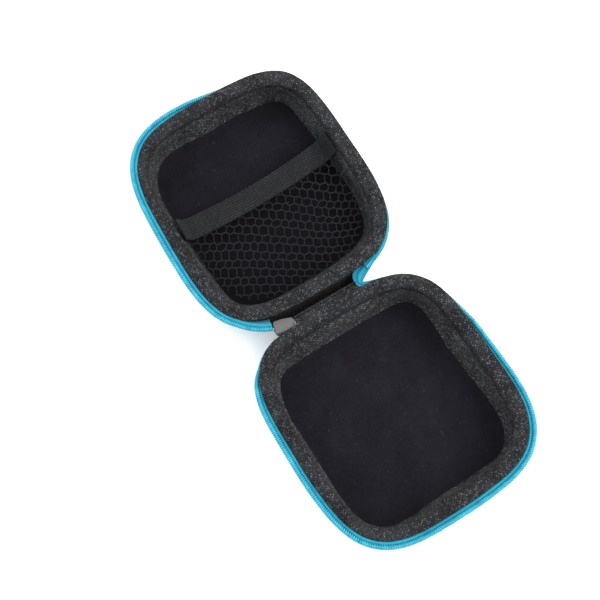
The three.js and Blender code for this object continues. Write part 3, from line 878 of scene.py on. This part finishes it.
NET_TURN = math.radians(30)
NET_MIDDLE = (0, 15)
NET_REACH = 18  # rows and columns each way from the middle
NET_PITCH, NET_ROW = 2.95, 2.95  # from one mesh to the next in a row, and from row to row
NET_WALL = 2.35  # how long the straight sides between two rows are
NET_YARN, NET_THIN_YARN = 0.17, 0.12  # along the rows, and between them
TWIST_WIDE, TWIST_HIGH = 0.85, 0.7  # how far two twisted yarns swing, in yarn radii
NET_HALF_SPAN, NET_HALF_DEPTH = 30, 17
NET_SLACK, NET_RIPPLE = 0.9, 0.25
NET_SWAY = 0.6
NET_SKEWED = (4, 30)  # from where to where the net gets pulled askew
SKEW_X, SKEW_Y = 1.9, 2.4
WOBBLE_X, WOBBLE_Y = 0.25, 0.3
POCKET_SQUARENESS = 3.2
BAND_HALF_WIDTH, BAND_HALF_SPAN, BAND_HALF_THICK = 4.1, 30.6, 0.42
BAND_Y, BAND_SLANT, BAND_BOW = -4.15, 0.85, 1.9
BAND_CLIMB, BAND_WALL_RISE = 3.4, 4.6  # how far before its ends it begins to climb the walls, and how high
BAND_WAIST = 0.06  # how much of its width it loses where it is stretched
BAND_RIBS, BAND_RIB_RISE, BAND_EDGE_DROP = 9, 0.13, 0.1
SCALLOP, SCALLOP_PITCH = 0.1, 1.6
FINE_THREAD = 0.15


def net_height(x, y):
    """The net hangs a little slack between the band and the walls."""
    across = np.clip(1 - (x / NET_HALF_SPAN) ** 2, 0, 1)
    back = np.clip(1 - ((y - NET_MIDDLE[1]) / NET_HALF_DEPTH) ** 2, 0, 1)
    ripple = NET_RIPPLE * np.sin(x / 4.3 + y / 6.1) * np.sin(y / 5.2 - x / 9.7)
    return NET_Z - NET_SLACK * across * back + ripple


def in_pocket(x, y):
    """Whether points lie inside the pocket's outline, on the hinge side of the band's middle."""
    a, b = HALF_WIDTH - POCKET_INSET, HALF_LENGTH - POCKET_INSET
    out = np.abs(x / a) ** POCKET_SQUARENESS + np.abs(y / b) ** POCKET_SQUARENESS
    return (out < 1) & (y > band_middle(x) + 0.8)


def band_middle(x):
    """The band's middle line: it bows towards the hinge."""
    return BAND_Y - BAND_SLANT * x / BAND_HALF_SPAN + BAND_BOW * (1 - (x / BAND_HALF_SPAN) ** 2)


def net_edges():
    """The sides of the net's flattened hexagons: two ends in the net's plane, and the yarn's radius."""
    c, s = math.cos(NET_TURN), math.sin(NET_TURN)
    turn = np.array([[c, s], [-s, c]])
    sides = []
    for row in range(-NET_REACH, NET_REACH + 1):
        for column in range(-NET_REACH, NET_REACH + 1):
            left = np.array([(column + row % 2 / 2) * NET_PITCH, row * NET_ROW])
            top, right = left + (NET_PITCH / 2, NET_ROW - NET_WALL), left + (NET_PITCH, 0)
            sides += [(left, top, NET_YARN), (top, right, NET_YARN)]
            sides.append((left, left - (0, NET_WALL), NET_THIN_YARN))
    return [(a @ turn + NET_MIDDLE, b @ turn + NET_MIDDLE, yarn) for a, b, yarn in sides]


def warp_net(points):
    """The knitted net is pulled out of true, most of all towards its right end."""
    x, y = points[..., 0], points[..., 1]
    right = smoothstep(x, *NET_SKEWED)
    dx = NET_SWAY * np.sin(y / 6.5 + 1) - SKEW_X * right * np.sin(y / 11)
    dy = NET_SWAY * np.sin(x / 8) + SKEW_Y * right * np.cos((y - 8) / 10)
    dx = dx + WOBBLE_X * np.sin(x * 1.1 + y * 0.6)
    dy = dy + WOBBLE_Y * np.sin(y * 0.9 - x * 0.7)
    return np.stack([x + dx, y + dy], -1)


def net_strands():
    """Two yarns twisted once round each other along every side of the net's meshes."""
    grids = []
    share = np.linspace(0, 1, 9)
    for a, b, yarn in net_edges():
        flat = warp_net(a[None] * (1 - share[:, None]) + b[None] * share[:, None])
        keep = in_pocket(flat[:, 0], flat[:, 1])
        if keep.sum() < 3 or (np.diff(keep.astype(int)) != 0).sum() > 1:
            continue
        flat, twist = flat[keep], share[keep] * 2 * math.pi
        ahead = flat[-1] - flat[0]
        aside = np.array([-ahead[1], ahead[0]]) / np.linalg.norm(ahead)
        high = net_height(flat[:, 0], flat[:, 1])
        for phase in (0, math.pi):
            swing = TWIST_WIDE * yarn * np.cos(twist + phase)
            lift = TWIST_HIGH * yarn * np.sin(twist + phase)
            points = np.column_stack([flat + aside * swing[:, None], high + lift])
            grids.append(tube_grid(points, yarn, 5))
    return grids


def build_net():
    obj = tubes("pocket_mesh", net_strands(), "lid")
    dress(obj, "lid", "net", "net", "pocket_net")


def band_point(x):
    """The band's middle line in space, with its ends turned up along the side walls."""
    climb = smoothstep(np.abs(x), BAND_HALF_SPAN - BAND_CLIMB, BAND_HALF_SPAN)
    return np.stack([x, band_middle(x), BAND_Z + BAND_WALL_RISE * climb ** 1.5], -1)


def build_band():
    along = resample(band_point(np.linspace(-BAND_HALF_SPAN, BAND_HALF_SPAN, 400)), 260)
    ahead = np.gradient(along, axis=0)
    ahead /= np.linalg.norm(ahead, axis=1)[:, None]
    up = np.cross(ahead, (0, 1.0, 0))
    ends = np.abs(along[:, 0]) / BAND_HALF_SPAN
    across = np.linspace(-1, 1, 73)
    narrow = 1 - BAND_WAIST * (1 - ends ** 2)
    ribs = BAND_RIB_RISE * np.abs(np.cos(across * math.pi * BAND_RIBS / 2)) - BAND_EDGE_DROP * across ** 8
    scallop = SCALLOP * np.sin(lengths(along) * 2 * math.pi / SCALLOP_PITCH)[:, None]
    wide = BAND_HALF_WIDTH * across[None] * narrow[:, None] + scallop * (np.abs(across) > 0.97)
    faces = []
    for side in (1, -1):
        lift = side * BAND_HALF_THICK + side * ribs
        faces.append(along[:, None] + wide[..., None] * (0, 1.0, 0) + lift[None, :, None] * up[:, None])
    grid = np.concatenate([faces[0], faces[1][:, ::-1]], 1)
    obj = strip("pocket_band", grid, "lid", lengths(along), lengths(grid[len(grid) // 2]), 0.5)
    dress(obj, "lid", "elastic", "elastic", "pocket_elastic")


def build_band_stitches():
    reach = BAND_HALF_SPAN - BAND_CLIMB
    path = band_point(np.linspace(-reach, reach, 300)) + (0, BAND_HALF_WIDTH - 1.3, 0.5)
    sew("pocket_band_stitches", stitches(path, UP, 1.9, 0.8, FINE_THREAD), "lid", "pocket_thread")


# -------- the hinge

# By distance from the axis towards the lid: where the webbing widens to its tongue, as (share, from, to)
# steps, where it widens to the right, and where its edges begin to follow the outline and follow it fully.
TONGUE_STEPS = ((0.7, 1.1, 1.7), (0.3, 2.4, 3.2))
RIGHT_STEP, RIGHT_WIDER = (0.5, 1.2), 3.5
ALONG_OUTLINE = (1.8, 3.4)
WEBBING_COLUMNS = 90
PUCKER, PUCKER_SIZE, PUCKERED_ABOVE = 0.1, 3.0, 12
HINGE_STITCH = (-0.25, 15.8)  # from the axis, and height
ZIP_END_RIB, ZIP_END_HALF_THICK = 0.28, 0.2


def blend_hinge(obj):
    """A piece that spans the hinge, with its place baked into its mesh."""
    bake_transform(obj)


def build_webbing():
    path = rounded(np.array(WEBBING_PATH), 4)
    loop = thickened(path, -WEBBING_THICK)
    from_axis = loop[:, 0]
    past_slider = sum(share * smoothstep(from_axis, *ends) for share, *ends in TONGUE_STEPS)
    left = WEBBING_NOTCH + (WEBBING_TONGUE - WEBBING_NOTCH) * past_slider
    right = HINGE_RIGHT + RIGHT_WIDER * smoothstep(from_axis, *RIGHT_STEP)
    share = np.linspace(0, 1, WEBBING_COLUMNS)[:, None]
    grid = np.empty((WEBBING_COLUMNS, len(loop), 3))
    grid[..., 0] = left[None] * (1 - share) + right[None] * share
    grid[..., 1:] = loop[None] + (AXIS_Y, 0)
    corner = HALF_LENGTH * (1 - (1 - np.abs(grid[..., 0] / HALF_WIDTH) ** SQUARENESS) ** (1 / SQUARENESS))
    grid[..., 1] += corner * (smoothstep(from_axis, *ALONG_OUTLINE) - smoothstep(-from_axis, *ALONG_OUTLINE))
    grid[..., 2] += PUCKER * bumpy(grid, PUCKER_SIZE, 5.5) * (grid[..., 2] > PUCKERED_ABOVE)
    run = lengths(np.concatenate([loop, loop[:1]]))
    across = np.linspace(WEBBING_NOTCH, HINGE_RIGHT, WEBBING_COLUMNS)
    obj = surface("hinge_strap", grid, "hinge", across, run, wrap=(False, True))
    dress(obj, None, "webbing", "binding_tape", "hinge_webbing")
    blend_hinge(obj)


def build_hinge_stitches():
    aside, high = HINGE_STITCH
    ends = np.array([(x, AXIS_Y + aside, high) for x in (WEBBING_NOTCH + 0.6, HINGE_RIGHT - 0.6)])
    obj = tubes("hinge_stitches", stitches(np.linspace(*ends, 60), UP, 2.4, 0.4, FINE_THREAD), "hinge")
    dress(obj, None, "thread", "thread", "hinge_thread")
    blend_hinge(obj)


def build_zip_end():
    """The tape's closed end: a ribbon between its two edges, hollow along its middle, folded into a V."""
    outer, inner = (resample(rounded(np.array(edge), 3), 90) for edge in (ZIP_END_OUTER, ZIP_END_INNER))
    share = np.linspace(0, 1, 15)[None, :, None]
    ribbon = outer[:, None] * (1 - share) + inner[:, None] * share + (0, AXIS_Y, 0)
    ribs = ZIP_END_RIB * np.cos(share * 4 * math.pi) * np.sin(share * math.pi)
    upper, lower = (ribbon + (ribs + lift) * UP for lift in (ZIP_END_HALF_THICK, -ZIP_END_HALF_THICK))
    grid = np.concatenate([upper, lower[:, ::-1]], 1)
    obj = strip("zip_end_fold", grid, "hinge", lengths(outer), lengths(grid[0]), 2 * ZIP_END_HALF_THICK)
    dress(obj, None, "tape", "zip_tape", "zip_closed_end")
    blend_hinge(obj)


# -------- slider and pull

SLIDER_X, SLIDER_ASIDE = -16.9, -0.5  # its middle: x, and from the hinge axis
SLIDER_TURN = math.radians(-12)
SLIDER_TOP = 15.4
SLIDER_HALF_LENGTH, SLIDER_HALF_WIDE, SLIDER_HALF_NARROW = 3.5, 2.3, 1.7
PLATE, CHANNEL = 0.9, 1.6
POST_RADIUS, POST_ASIDE = 0.9, 1.5  # aside: its middle's distance from the slider's wide end
BRIDGE_THICK = 1.6
# The bridge's arch below the slider: along the slider and height, and how round each corner is.
BRIDGE = [
    (-1.9, 0.2), (-1.9, -2.2), (1.9, -2.2), (1.9, 0.2), (1.2, 0.2), (1.2, -1.55), (-1.2, -1.55), (-1.2, 0.2),
]
BRIDGE_ROUND = [0.1, 0.8, 0.8, 0.1, 0.1, 0.4, 0.4, 0.1]
PULL_PIVOT = Vector(joints["pull_swing"]["pos_m"]) / MM
PULL_HALF_WIDE, PULL_LENGTH, PULL_THICK, PULL_BAR = 2.3, 10.4, 0.8, 0.4
PULL_ROUND = [0.3, 1.7, 1.7, 0.3]
EYE_HALF_WIDE, EYE_LENGTH = 1.3, 2.7
WINDOW = (-0.9, -5.4, 0.9, -8.6)


def quarter_turn(axis):
    return Matrix.Rotation(math.radians(90), 4, axis)


def corners_of(x, y, x_end, y_end):
    return [(x, y), (x_end, y), (x_end, y_end), (x, y_end)]


def prism(name, shape, thick, matrix, bevel):
    """A flat shape with holes, thickened and bevelled. shape is a list of loops, and matrix places it."""
    curve = bpy.data.curves.new(name, "CURVE")
    curve.dimensions, curve.fill_mode = "2D", "BOTH"
    curve.extrude, curve.bevel_depth, curve.bevel_resolution = thick / 2 - bevel, bevel, 3
    curve.offset = -bevel
    for loop in shape:
        spline = curve.splines.new("POLY")
        spline.points.add(len(loop) - 1)
        places = np.column_stack([loop, np.zeros(len(loop)), np.ones(len(loop))])
        spline.points.foreach_set("co", places.ravel())
        spline.use_cyclic_u = True
    holder = show(name + "_curve", curve)
    mesh = bpy.data.meshes.new_from_object(holder.evaluated_get(bpy.context.evaluated_depsgraph_get()))
    bpy.data.objects.remove(holder)
    mesh.transform(Matrix.Scale(MM, 4) @ matrix)
    return mesh


def loop_of(corners, radius, steps=5):
    """A closed outline with its corners rounded. radius is one number, or one for each corner."""
    corners = np.array(corners, float)
    points = []
    for index, corner in enumerate(corners):
        before, after = corners[index - 1], corners[(index + 1) % len(corners)]
        size = radius[index] if isinstance(radius, (list, tuple)) else radius
        start = corner + (before - corner) / np.linalg.norm(before - corner) * size
        end = corner + (after - corner) / np.linalg.norm(after - corner) * size
        for share in np.linspace(0, 1, steps):
            points.append((1 - share) ** 2 * start + 2 * share * (1 - share) * corner + share ** 2 * end)
    return np.array(points)


def join_meshes(name, meshes):
    joined = bmesh.new()
    for mesh in meshes:
        joined.from_mesh(mesh)
        bpy.data.meshes.remove(mesh)
    bmesh.ops.remove_doubles(joined, verts=joined.verts, dist=1e-7)
    bmesh.ops.recalc_face_normals(joined, faces=joined.faces)
    result = bpy.data.meshes.new(name)
    joined.to_mesh(result)
    joined.free()
    result.polygons.foreach_set("use_smooth", [True] * len(result.polygons))
    return show(name, result)


def slider_place(x, y, z):
    """A place on the slider, from its middle."""
    turn = Matrix.Rotation(SLIDER_TURN, 4, "Z")
    return Matrix.Translation((SLIDER_X, AXIS_Y + SLIDER_ASIDE, 0)) @ turn @ Matrix.Translation((x, y, z))


def build_slider():
    length, wide, narrow = SLIDER_HALF_LENGTH, SLIDER_HALF_WIDE, SLIDER_HALF_NARROW
    corners = [
        (-length, -wide), (0, -wide), (length, -narrow), (length, narrow), (0, wide), (-length, wide),
    ]
    plate = loop_of(corners, [0.8, 0.8, 0.5, 0.5, 0.8, 0.8])
    flange = loop_of(corners_of(-length + 1, -0.25, -0.3, 0.25), 0.12, 3)
    middle = SLIDER_TOP - PLATE - CHANNEL / 2
    meshes = []
    for lift in (-1, 1):
        at = slider_place(0, 0, middle + lift * (PLATE + CHANNEL) / 2)
        meshes.append(prism("plate", [plate], PLATE, at, 0.2))
        for side in (-1, 1):
            at = slider_place(0, side * (wide - 0.27), middle + lift * (CHANNEL / 2 - 0.2))
            meshes.append(prism("flange", [flange], 0.6, at, 0.08))
    post = loop_of(corners_of(-POST_RADIUS, -POST_RADIUS, POST_RADIUS, POST_RADIUS), POST_RADIUS - 0.02, 6)
    meshes.append(prism("post", [post], CHANNEL + 0.5, slider_place(POST_ASIDE - length, 0, middle), 0.05))
    bottom = SLIDER_TOP - 2 * PLATE - CHANNEL
    at = Matrix.Translation((PULL_PIVOT.x, PULL_PIVOT.y, bottom)) @ quarter_turn("X")
    meshes.append(prism("bridge", [loop_of(BRIDGE, BRIDGE_ROUND)], BRIDGE_THICK, at, 0.16))
    obj = join_meshes("slider_casting", meshes)
    dress(obj, "slider", "metal", "slider_metal", "zip_slider")


def build_pull():
    wide, bar = PULL_HALF_WIDE, PULL_BAR
    tab = loop_of([(-wide, bar), (-wide, -PULL_LENGTH), (wide, -PULL_LENGTH), (wide, bar)], PULL_ROUND)
    eye = loop_of(corners_of(-EYE_HALF_WIDE, -bar, EYE_HALF_WIDE, -bar - EYE_LENGTH), 0.35)
    window = loop_of(corners_of(*WINDOW), 0.85)
    at = Matrix.Translation(PULL_PIVOT) @ (quarter_turn("Z") @ quarter_turn("X"))
    obj = join_meshes("pull_tab", [prism("tab", [tab, eye, window], PULL_THICK, at, 0.18)])
    dress(obj, "pull", "metal", "slider_metal", "zip_pull")


# -------- the whole object

add_camera()
add_studio()
MATERIALS.update(make_materials())
for half_name in ("base", "lid"):
    build_cups(half_name)
    build_binding(half_name)
    build_binding_stitches(half_name)
    build_tape(half_name)
    build_coil(half_name)
build_net()
build_band()
build_band_stitches()
build_webbing()
build_hinge_stitches()
build_zip_end()
build_slider()
build_pull()
